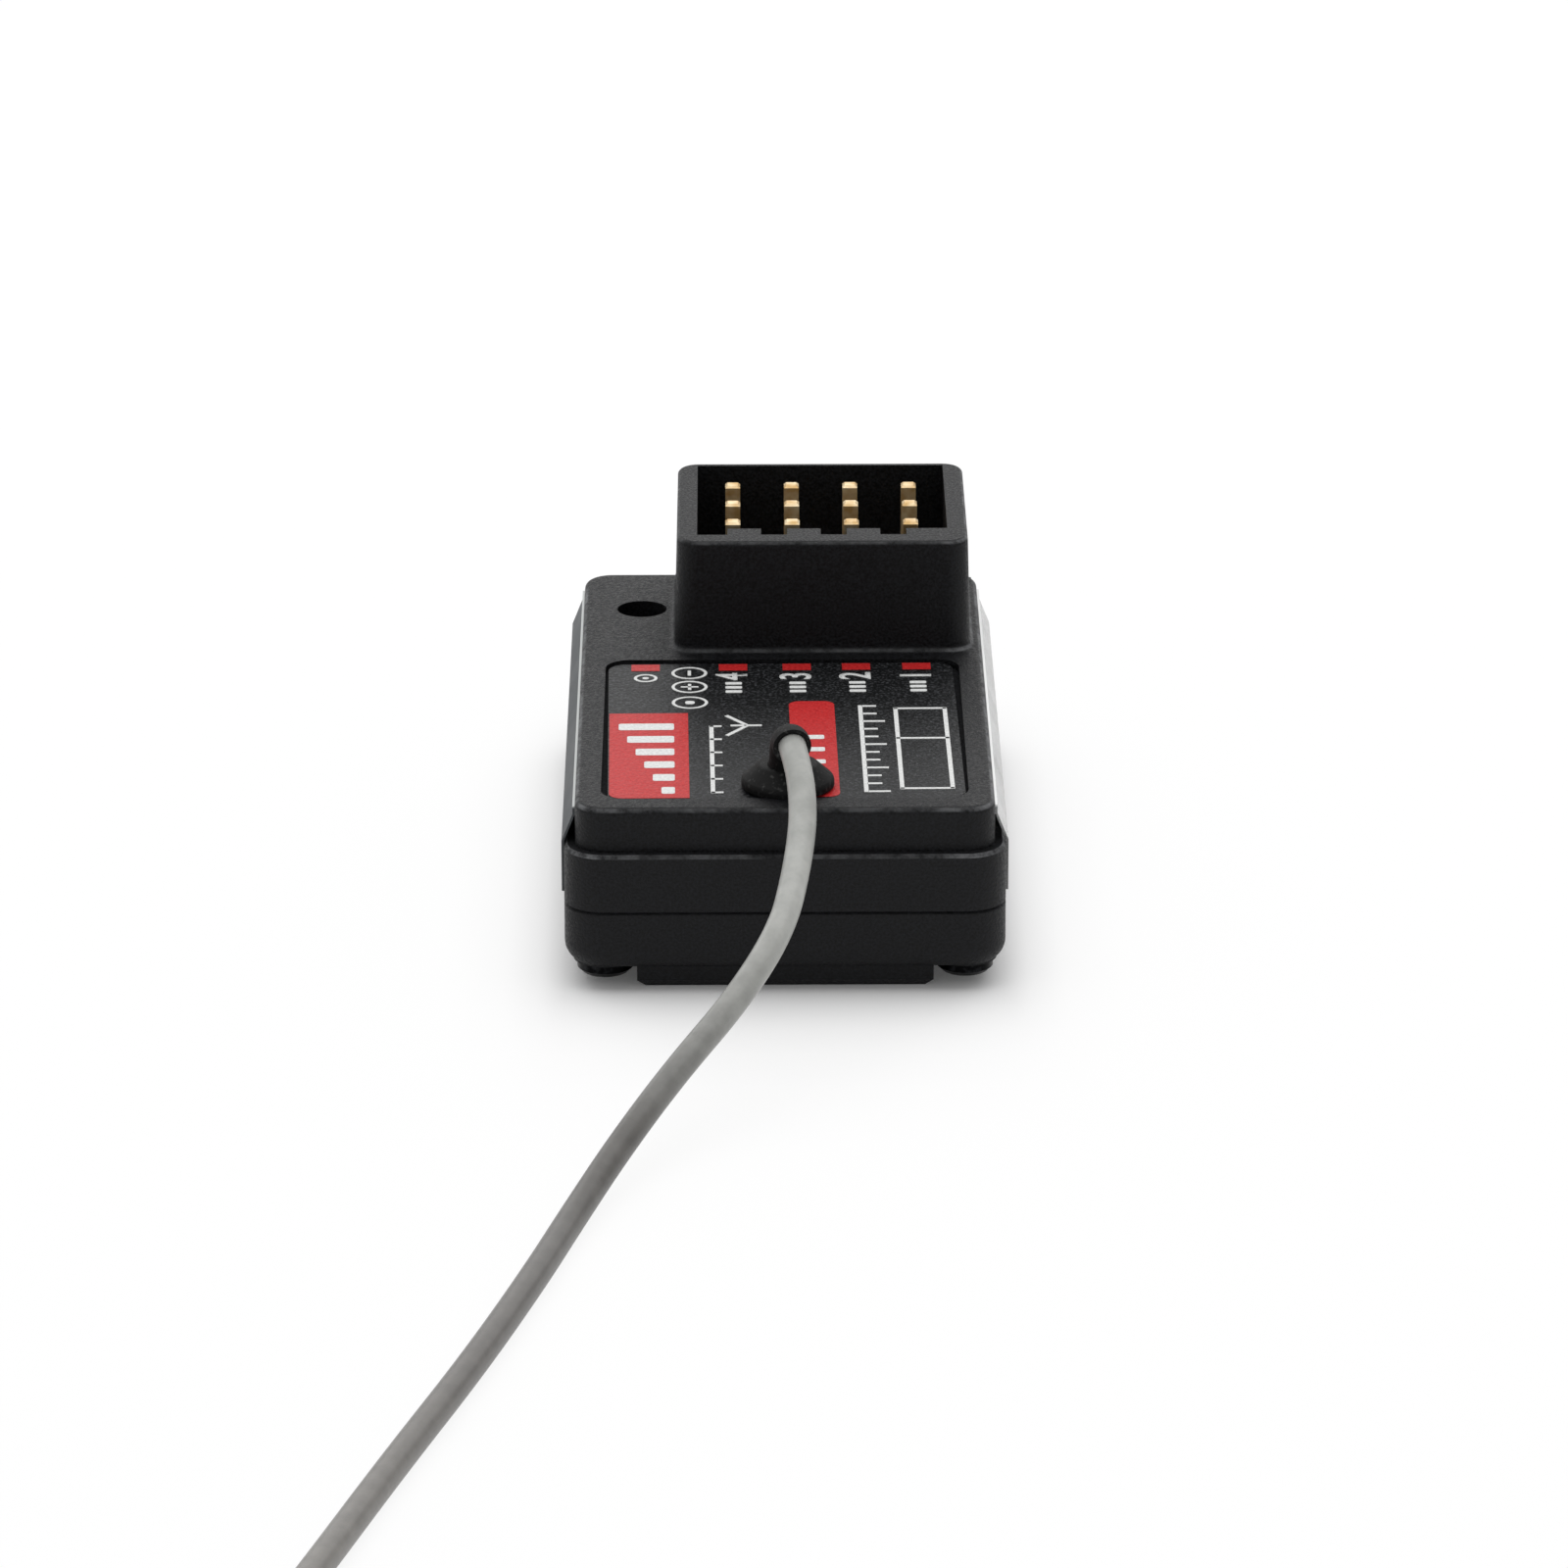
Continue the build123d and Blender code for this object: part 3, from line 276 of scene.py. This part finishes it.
shade = add(
    tree, "ShaderNodeMix", {"data_type": "RGBA"},
    i0=cut.outputs["Result"], i6=shade, i7=linear("a9aaa8"),
)
bump = add(tree, "ShaderNodeBump", Height=peel.outputs["Fac"], Strength=0.7, Distance=0.00005)
surface = add(
    tree, "ShaderNodeBsdfPrincipled", Base_Color=shade.outputs[2], Roughness=0.42, IOR=1.5,
    Specular_IOR_Level=0.12, Normal=bump.outputs["Normal"],
)
close(tree, surface)
give(deck_label, "top_label")

# Printing on the label.
# Red and white inks, screen-printed on the label a few hundredths of a millimetre thick: red
# areas, plain channel numbers, signs in rings, an antenna sign, scales, bars and a blank frame.
# The label was stuck on with a slight turn, in degrees, about its middle, in mm.
label_middle = (0.0, -5.19)
label_turn = 0.6
ink_height = {"red": 0.015, "white": 0.025}
inks = {"red": [], "white": []}


def on_label(x, y):
    """A place in mm on the unturned label, in metres on the real one."""
    turn = radians(label_turn)
    x, y = x - label_middle[0], y - label_middle[1]
    return (
        (label_middle[0] + x * cos(turn) - y * sin(turn)) / 1000,
        (label_middle[1] + x * sin(turn) + y * cos(turn)) / 1000,
        label_top,
    )


def raise_ink(colour):
    """Gives the flat face in hand its thickness and keeps it with the inks of one colour."""
    bpy.ops.mesh.select_all(action="SELECT")
    bpy.ops.mesh.extrude_region_move(TRANSFORM_OT_translate={"value": (0, 0, ink_height[colour] / 1000)})
    bpy.ops.mesh.select_all(action="SELECT")
    bpy.ops.mesh.normals_make_consistent(inside=False)
    bpy.ops.object.mode_set(mode="OBJECT")
    bpy.ops.object.transform_apply(location=True, rotation=True, scale=True)
    inks[colour].append(bpy.context.object)


def ink_patch(colour, x, y, width, length, corner=0.0, turn=0.0, corners=4):
    """A patch of ink about a place in mm; its corners, or the first few of them, are rounded."""
    centre = on_label(x, y)
    bpy.ops.object.select_all(action="DESELECT")
    bpy.ops.mesh.primitive_plane_add(size=1, location=centre)
    mesh = bpy.context.object.data
    bpy.ops.object.mode_set(mode="EDIT")
    bpy.ops.mesh.select_all(action="SELECT")
    bpy.ops.transform.resize(value=(width / 1000, length / 1000, 1))
    bpy.ops.transform.rotate(value=-radians(label_turn + turn), orient_axis="Z", center_override=centre)
    if corner:
        bpy.ops.mesh.select_all(action="DESELECT")
        bpy.ops.object.mode_set(mode="OBJECT")
        for vertex in mesh.vertices[:corners]:
            vertex.select = True
        bpy.ops.object.mode_set(mode="EDIT")
        bpy.ops.mesh.select_mode(type="VERT")
        bpy.ops.mesh.bevel(offset=corner / 1000, segments=5, affect="VERTICES")
    raise_ink(colour)


def ink_ring(x, y, radius, stroke):
    """A ring of white ink about a place in mm, radius to its outer edge."""
    bpy.ops.object.select_all(action="DESELECT")
    bpy.ops.mesh.primitive_circle_add(
        vertices=40, radius=radius / 1000, fill_type="NGON", location=on_label(x, y),
    )
    bpy.ops.object.mode_set(mode="EDIT")
    bpy.ops.mesh.select_all(action="SELECT")
    bpy.ops.mesh.inset(thickness=stroke / 1000)
    bpy.ops.mesh.delete(type="FACE")
    raise_ink("white")


def ink_number(number, x, y, height):
    """A plain number in white ink, in the font's figures made a little bolder."""
    figure_share = 0.7
    boldness = 0.00003
    bpy.ops.object.select_all(action="DESELECT")
    bpy.ops.object.text_add(location=on_label(x, y), rotation=(0, 0, radians(90 + label_turn)))
    figure = bpy.context.object
    figure.data.body = str(number)
    figure.data.size = height / 1000 / figure_share
    figure.data.offset = boldness
    figure.data.align_x = "CENTER"
    figure.data.align_y = "CENTER"
    bpy.ops.object.convert(target="MESH")
    bpy.ops.object.mode_set(mode="EDIT")
    bpy.ops.mesh.select_all(action="SELECT")
    bpy.ops.mesh.remove_doubles(threshold=0.000001)
    raise_ink("white")


# Red: a field with one rounded corner, a tab, and marks for the lamp and the four channels.
lamp_x = -5.72
channel_x = {4: -2.01, 3: 0.69, 2: 3.21, 1: 5.77}
ink_patch("red", -5.60, -8.27, 3.28, 10.34, 0.55, corners=1)
ink_patch("red", 1.22, -7.55, 1.90, 11.70, 0.45)
for x in (lamp_x, *channel_x.values()):
    ink_patch("red", x, 2.70, 1.20, 0.82)

# White: each channel's number, with one bar for each of its pins.
number_y, number_height = 1.50, 1.30
first_bar_y, bar_pitch = 0.62, 0.52
for number, x in channel_x.items():
    ink_number(number, x, number_y, number_height)
    for pin in range(3):
        ink_patch("white", x, first_bar_y - bar_pitch * pin, 0.70, 0.30, 0.08)

# White: the lamp's ring, and the rings for minus, plus and signal.
lamp_y = 1.35
sign_x = -3.87
minus_y, plus_y, signal_y = 1.97, 0.20, -1.79
ring_line, sign_line = 0.13, 0.14
ink_ring(lamp_x, lamp_y, 0.50, ring_line)
ink_patch("white", lamp_x, lamp_y, 0.26, 0.26, 0.1)
for y in (minus_y, plus_y, signal_y):
    ink_ring(sign_x, y, 0.76, ring_line)
ink_patch("white", sign_x, minus_y, sign_line, 0.62)
ink_patch("white", sign_x, plus_y, sign_line, 0.74)
ink_patch("white", sign_x, plus_y, 0.74, sign_line)
ink_patch("white", sign_x, signal_y, 0.40, 0.40, 0.15)

# White: six bars that grow along the red field, flush at their inner ends.
bars_edge, shortest_y, step_y = -4.55, -12.55, 1.55
for number in range(6):
    bar = 0.55 + 0.35 * number
    ink_patch("white", bars_edge - bar / 2, shortest_y + step_y * number, bar, 0.80, 0.12)

# White: a short scale with an antenna sign at its end.
rule = 0.18
ink_patch("white", -3.00, -8.80, rule, 8.20)
for tick in range(6):
    ink_patch("white", -2.82, -12.83 + 1.61 * tick, 0.50, rule)
ink_patch("white", -1.55, -4.70, 1.30, rule)
ink_patch("white", -1.95, -4.05, rule, 1.45, turn=35)
ink_patch("white", -1.95, -5.35, rule, 1.45, turn=-35)

# White: a long scale, whose every third tick is longer.
ink_patch("white", 3.25, -7.60, rule, 10.60)
for tick in range(12):
    tick_x, tick_length = (3.62, 0.60) if tick % 3 else (3.78, 0.92)
    ink_patch("white", tick_x, -12.83 + 0.95 * tick, tick_length, rule)

# White: a blank frame of two ends, two sides and a divider, then three bars on the red tab.
frame_rules = (
    (5.75, -12.50, 2.2, rule), (5.75, -2.70, 2.2, rule), (4.72, -7.6, rule, 9.9),
    (6.78, -7.6, rule, 9.9), (5.75, -6.4, 2.2, rule),
)
for x, y, width, length in frame_rules:
    ink_patch("white", x, y, width, length)
for number in range(3):
    ink_patch("white", 1.22, -9.2 + 1.5 * number, 0.90, 0.50, 0.1)

# Screen ink: opaque and satin, with the same fine peel and dust as the label under it.
for colour, dark, light in (("red", "b01f22", "cc3232"), ("white", "d3d4d3", "ecedec")):
    ink, tree, place = new_material("screen_ink_" + colour)
    peel = add(tree, "ShaderNodeTexNoise", Vector=place, Scale=1 / peel_size, Detail=3.0, Roughness=0.5)
    dust = add(tree, "ShaderNodeTexNoise", Vector=place, Scale=1 / dust_size, Detail=2.0)
    shade = ramp(tree, dust.outputs["Fac"], [(0.35, dark), (0.70, light)])
    bump = add(tree, "ShaderNodeBump", Height=peel.outputs["Fac"], Strength=0.7, Distance=0.00005)
    surface = add(
        tree, "ShaderNodeBsdfPrincipled", Base_Color=shade, Roughness=0.42, IOR=1.5,
        Specular_IOR_Level=0.12, Normal=bump.outputs["Normal"],
    )
    close(tree, surface)
    bpy.ops.object.select_all(action="DESELECT")
    for patch in inks[colour]:
        patch.select_set(True)
    bpy.context.view_layer.objects.active = inks[colour][0]
    bpy.ops.object.join()
    print_layer = bpy.context.object
    print_layer.name = "label_print_" + colour
    print_layer.data.materials.clear()
    print_layer.data.materials.append(ink)
    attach(print_layer, "root")

# Side films.
# Clear polyester film, one strip along each long side, that bridges the step of the case.
# The left strip is painted a darker grey, as painted shade, and made matt, and the right one is
# painted near white and clear, as a painted reflection; both are pale along the upper cut edge,
# partly the cut's own whitish scatter and partly a painted highlight.
# Painted light: each side's tint and edge tint are painted shade, reflection and highlight for how the
# light falls on that side.
film_looks = (
    ("left", "60656a", "cfd2d1", 0.60, 0.45, 0.2),
    ("right", "f7f8f8", "eff0ef", 0.9, 0.08, 0.5),
)
haze_spread = 0.22
cut_from, cut_to = 0.00012, 0.00002
for side, tint, edge_tint, clarity, matt, shine in film_looks:
    film, tree, place = new_material("polyester_film_" + side)
    haze = add(tree, "ShaderNodeTexNoise", Vector=place, Scale=1 / 0.0025, Detail=3.0)
    gloss = add(
        tree, "ShaderNodeMapRange", Value=haze.outputs["Fac"], To_Min=matt, To_Max=matt + haze_spread,
    )
    height = add(tree, "ShaderNodeSeparateXYZ", Vector=place)
    film_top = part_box("side_film_" + side)[1].z
    cut = add(
        tree, "ShaderNodeMapRange", Value=height.outputs["Z"],
        From_Min=film_top - cut_from, From_Max=film_top - cut_to, To_Min=1.0, To_Max=0.0,
    )
    shade = add(
        tree, "ShaderNodeMix", {"data_type": "RGBA"}, i0=cut.outputs["Result"], i6=linear(edge_tint),
        i7=linear(tint),
    )
    clear = add(tree, "ShaderNodeMath", {"operation": "MULTIPLY"}, i0=cut.outputs["Result"], i1=clarity)
    surface = add(
        tree, "ShaderNodeBsdfPrincipled", Base_Color=shade.outputs[2], Roughness=gloss.outputs["Result"],
        IOR=1.57, Transmission_Weight=clear.outputs[0], Specular_IOR_Level=shine,
    )
    close(tree, surface)
    give(film, "side_film_" + side)

# Antenna grommet.
# Moulded black rubber: a domed flange on the label and a nipple that leans with the lead.
# It is dull and holds a little pale dust.
rubber, tree, place = new_material("rubber_moulded_black")
skin = add(tree, "ShaderNodeTexNoise", Vector=place, Scale=1 / 0.00025, Detail=4.0, Roughness=0.65)
specks = add(tree, "ShaderNodeTexNoise", Vector=place, Scale=1 / 0.0002, Detail=1.0)
shade = ramp(tree, specks.outputs["Fac"], [(0.60, "090909"), (0.78, "3a3a39")])
bump = add(tree, "ShaderNodeBump", Height=skin.outputs["Fac"], Strength=0.3, Distance=0.00004)
surface = add(
    tree, "ShaderNodeBsdfPrincipled", Base_Color=shade, Roughness=0.66, IOR=1.52,
    Specular_IOR_Level=0.2, Normal=bump.outputs["Normal"],
)
close(tree, surface)
give(rubber, "antenna_grommet")

# Antenna lead.
# Miniature coaxial cable with a smooth grey fluoropolymer jacket, 1.13 mm across. It leaves
# the nipple, comes down to the surface and is wound once and a bit for storage, where it
# crosses over itself; beyond its end are 31 mm of the bare inner core, the antenna itself.
lead_diameter = 0.00113
core_diameter = 0.00068
core_length = 0.031
lead_route = [
    (0.30, -14.05, 10.18), (0.48, -15.35, 9.98), (0.66, -16.95, 9.48), (0.70, -19.00, 8.68),
    (0.38, -21.60, 7.50), (-0.20, -24.40, 6.20), (-1.95, -27.60, 4.52), (-4.40, -31.10, 2.86),
    (-6.50, -35.20, 1.46), (-8.20, -39.93, 0.565), (-9.62, -46.04, 0.565), (-11.70, -54.05, 0.565),
    (-14.20, -62.57, 0.565), (-16.85, -72.18, 0.565), (-19.40, -81.38, 0.765),
]

# The turns, in mm and degrees: they begin on the inner circle and widen to the outer one as
# they rise over their own start.
coil_centre = (-13.425, -83.036)
coil_entry = 164.5
coil_end = 268.9 + 360
inner_turn = 6.18
outer_turn = 7.32
coil_level = 0.765
hump_level = 2.05
hump_middle, hump_reach, hump_slope = 492, 56, 40
widens_after, widens_over = 200, 130
steps = 21
step = (coil_end - coil_entry) / steps
spread = 1 / cos(radians(step / 2))
coil_points = []
for number in range(steps):
    angle = coil_entry + step * (number + 0.5)
    out = min(max((angle - coil_entry - widens_after) / widens_over, 0), 1)
    radius = (inner_turn + (outer_turn - inner_turn) * out) * spread
    rise = min(max((hump_reach - abs(angle - hump_middle)) / hump_slope, 0), 1)
    coil_points.append((
        coil_centre[0] + radius * cos(radians(angle)),
        coil_centre[1] + radius * sin(radians(angle)),
        coil_level + (hump_level - coil_level) * rise,
    ))
end = (
    coil_centre[0] + outer_turn * cos(radians(coil_end)),
    coil_centre[1] + outer_turn * sin(radians(coil_end)),
    coil_level,
)
coil_points.append(end)
core_direction = (-sin(radians(coil_end)), cos(radians(coil_end)))
core_drop = (coil_level - 1000 * core_diameter / 2) / (1000 * core_length)
core_route = [
    (
        end[0] + core_direction[0] * along,
        end[1] + core_direction[1] * along,
        coil_level - core_drop * along,
    )
    for along in (0, 10, 20.5, 30.98)
]


def lead_curve(name, points, diameter):
    """A round lead whose centreline is a smooth NURBS spline through the given control points, in mm."""
    curve = bpy.data.curves.new(name, "CURVE")
    curve.dimensions = "3D"
    spline = curve.splines.new("NURBS")
    spline.points.add(len(points) - 1)
    for point, (x, y, z) in zip(spline.points, points):
        point.co = (x / 1000, y / 1000, z / 1000, 1)
    spline.order_u = 3
    spline.use_endpoint_u = True
    spline.resolution_u = 10
    curve.bevel_depth = diameter / 2
    curve.bevel_resolution = 6
    curve.use_fill_caps = True
    piece = bpy.data.objects.new(name, curve)
    bpy.context.scene.collection.objects.link(piece)
    return piece


# Extruded fluoropolymer: smooth, slightly waxy and softly mottled. Its grey along its length is
# painted light: palest just outside the nipple as a painted highlight, darkest further out as
# painted shade, and a little paler again by the turns.
shade_ramp_end_y, nipple_y = -0.072, -0.014
jacket, tree, place = new_material("fluoropolymer_jacket_grey")
marks = add(tree, "ShaderNodeTexNoise", Vector=place, Scale=1 / 0.0009, Detail=4.0, Roughness=0.6)
where = add(tree, "ShaderNodeSeparateXYZ", Vector=place)
painted_shade_along = add(
    tree, "ShaderNodeMapRange", Value=where.outputs["Y"], From_Min=shade_ramp_end_y, From_Max=nipple_y,
)
# Painted light and shade: the jacket's grey changes along y, pale by the nipple, dark further out, a
# little paler by the turns.
painted_tone = ramp(
    tree, painted_shade_along.outputs["Result"],
    [(0.0, "8a8783"), (0.32, "726f6c"), (0.64, "6b6966"), (0.84, "bcbdb9"), (1.0, "a5a6a2")],
)
mottle = ramp(tree, marks.outputs["Fac"], [(0.35, "e9e9e9"), (0.65, "ffffff")])
shade = add(
    tree, "ShaderNodeMix", {"data_type": "RGBA", "blend_type": "MULTIPLY"}, i0=1.0, i6=painted_tone, i7=mottle,
)
gloss = add(tree, "ShaderNodeMapRange", Value=marks.outputs["Fac"], To_Min=0.30, To_Max=0.40)
surface = add(
    tree, "ShaderNodeBsdfPrincipled", Base_Color=shade.outputs[2], Roughness=gloss.outputs["Result"],
    IOR=1.35, Subsurface_Weight=0.15, Subsurface_Radius=(0.0004, 0.0004, 0.0004), Subsurface_Scale=1.0,
)
close(tree, surface)

antenna_lead = lead_curve("antenna_lead", lead_route + coil_points, lead_diameter)
antenna_lead.data.materials.append(jacket)
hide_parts("antenna_coax", "antenna_coil")
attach(antenna_lead, "root")
give(jacket, "coax_inner_lead")

# Extruded polyethylene, the bare inner core: milky, smooth and a little translucent.
core, tree, place = new_material("polyethylene_core_white")
cloud = add(tree, "ShaderNodeTexNoise", Vector=place, Scale=1 / 0.0012, Detail=3.0)
shade = ramp(tree, cloud.outputs["Fac"], [(0.35, "cfcfca"), (0.65, "dddcd7")])
surface = add(
    tree, "ShaderNodeBsdfPrincipled", Base_Color=shade, Roughness=0.35, IOR=1.51,
    Subsurface_Weight=0.3, Subsurface_Radius=(0.0005, 0.0005, 0.0005), Subsurface_Scale=1.0,
)
close(tree, surface)
antenna_core = lead_curve("antenna_core", core_route, core_diameter)
antenna_core.data.materials.append(core)
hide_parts("antenna_element")
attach(antenna_core, "root")

# Tie.
# A narrow black plastic tie round both strands of the turns, with its twisted tail outwards.
give(plain_part("pvc_tie_black", "19191a", "252627", 0.3, 0.45), "coil_tie")

# Floor.
# A pale matt board under the receiver, which goes on past the picture's edges. Its white is
# even away from the case and gives way to the real shade close to it, most in front of it.
bpy.ops.object.select_all(action="DESELECT")
bpy.ops.mesh.primitive_plane_add(size=6.0, location=(0, 0, 0))
floor = bpy.context.object
floor.name = "floor"
board_white, tree, place = new_material("board_white_matt")
path = add(tree, "ShaderNodeLightPath")
seen = add(tree, "ShaderNodeMath", {"operation": "MAXIMUM"}, i0=path.outputs["Is Camera Ray"],
           i1=path.outputs["Is Glossy Ray"])
seen = add(tree, "ShaderNodeMath", {"operation": "MAXIMUM"}, i0=seen.outputs[0],
           i1=path.outputs["Is Transmission Ray"])
shade_reach = 0.020
side_falloff = 4
case_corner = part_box("bottom_shell")[1]
beyond = add(tree, "ShaderNodeVectorMath", {"operation": "ABSOLUTE"}, i0=place)
beyond = add(tree, "ShaderNodeVectorMath", {"operation": "SUBTRACT"}, i0=beyond.outputs[0],
             i1=(case_corner.x, case_corner.y, 0))
beyond = add(tree, "ShaderNodeVectorMath", {"operation": "MAXIMUM"}, i0=beyond.outputs[0], i1=(0, 0, 0))
beyond = add(tree, "ShaderNodeVectorMath", {"operation": "MULTIPLY"}, i0=beyond.outputs[0],
             i1=(side_falloff, 1, 0))
beyond = add(tree, "ShaderNodeVectorMath", {"operation": "LENGTH"}, i0=beyond.outputs[0])
reach = add(tree, "ShaderNodeMapRange", Value=beyond.outputs["Value"], From_Max=shade_reach)
white = ramp(
    tree, reach.outputs["Result"],
    [(0.0, "404040"), (0.2, "b6b6b6"), (0.5, "e2e2e2"), (1.0, "f2f2f2")],
)
share = add(tree, "ShaderNodeMath", {"operation": "MULTIPLY"}, i0=seen.outputs[0], i1=white)
paint = add(tree, "ShaderNodeBsdfDiffuse", Color=linear("fafafa"))
glow = add(tree, "ShaderNodeEmission", Color=linear("ffffff"), Strength=1.0)
mix = add(tree, "ShaderNodeMixShader", i0=share.outputs[0], i1=paint.outputs[0], i2=glow.outputs[0])
close(tree, mix)
floor.data.materials.append(board_white)

# Studio light and camera.
# A white room, one soft lamp above and one low behind the receiver, and a long lens from the
# front that looks down at about 20 degrees.
world = bpy.data.worlds.new("studio")
bpy.context.scene.world = world
world.use_nodes = True
tree = world.node_tree
tree.nodes.clear()
path = add(tree, "ShaderNodeLightPath")
fill = add(tree, "ShaderNodeBackground", Color=linear("ffffff"), Strength=0.45)
backdrop = add(tree, "ShaderNodeBackground", Color=linear("ffffff"), Strength=1.0)
mix = add(tree, "ShaderNodeMixShader", i0=path.outputs["Is Camera Ray"], i1=fill.outputs[0],
          i2=backdrop.outputs[0])
add(tree, "ShaderNodeOutputWorld", Surface=mix.outputs[0])


def soft_box(name, place, turn, size, power):
    """A rectangular studio lamp at a place, turned by degrees about x, y and z."""
    lamp = bpy.data.lights.new(name, "AREA")
    lamp.shape = "RECTANGLE"
    lamp.size, lamp.size_y = size
    lamp.energy = power
    piece = bpy.data.objects.new(name, lamp)
    piece.location = place
    piece.rotation_euler = tuple(radians(value) for value in turn)
    bpy.context.scene.collection.objects.link(piece)


soft_box("top_box", (0.0, 0.12, 0.70), (-8, 0, 0), (1.0, 0.9), 4.2)
soft_box("back_box", (0.0, 0.75, 0.36), (-68, 0, 0), (1.3, 0.45), 2.2)

camera_data = bpy.data.cameras.new("camera")
camera_data.sensor_width = 36
camera_data.lens = 194.97
camera_data.clip_start = 0.01
camera_data.clip_end = 20
camera = bpy.data.objects.new("camera", camera_data)
camera.location = (-0.0019765, -0.3377267, 0.1259895)
camera.rotation_euler = (radians(70.06197), radians(0.09025), radians(-0.37574))
bpy.context.scene.collection.objects.link(camera)
bpy.context.scene.camera = camera
bpy.context.scene.view_settings.view_transform = "Standard"
